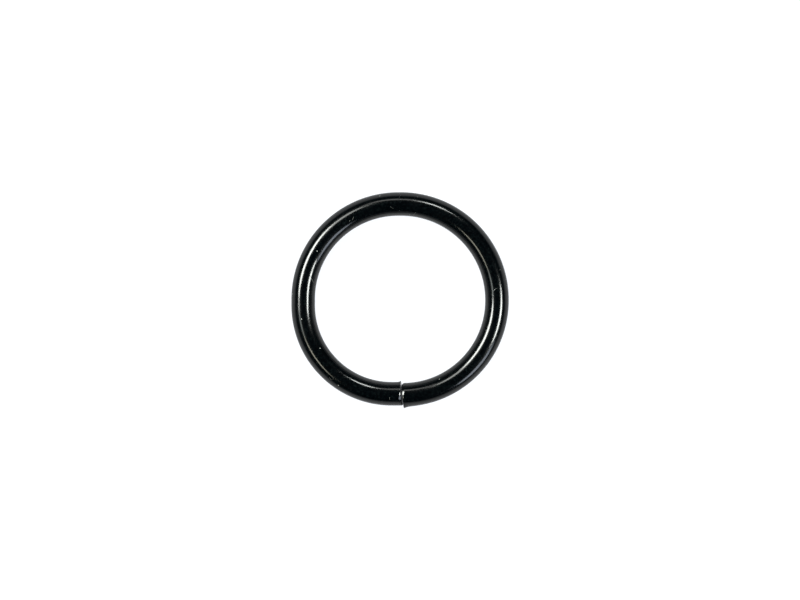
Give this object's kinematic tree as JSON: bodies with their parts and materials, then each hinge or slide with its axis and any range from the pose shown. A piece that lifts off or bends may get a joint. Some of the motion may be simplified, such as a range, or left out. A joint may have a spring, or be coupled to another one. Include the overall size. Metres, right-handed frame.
{
  "type": "butted wire ring",
  "caption": "Single-turn ring of round steel wire in gloss black, whose butted ends twist apart to let a strap, clip or other ring on.",
  "frame": {"origin": "middle of the ring, halfway through the wire's thickness", "axes": "+Z along the ring's axis, out of the face that is seen; +Y towards the crown, opposite the cut; +X to the right across the ring, so the cut is at -Y"},
  "size_m": [0.0321, 0.0316, 0.0036],
  "materials": {
    "steel": "bare drawn steel wire, under the coat",
    "black_coat": "gloss black paint with fine dust and handling marks"
  },
  "bodies": {
    "left_half": {"left_half_wire": "steel", "left_half_coat": "black_coat"},
    "right_half": {"right_half_wire": "steel", "right_half_coat": "black_coat"}
  },
  "joints": [
    {"name": "twist_open", "type": "hinge", "parent": "left_half", "child": "right_half", "pos_m": [0, 0.01405, 0], "axis": [-1, 0, 0], "range_deg": [0, 20]}
  ]
}
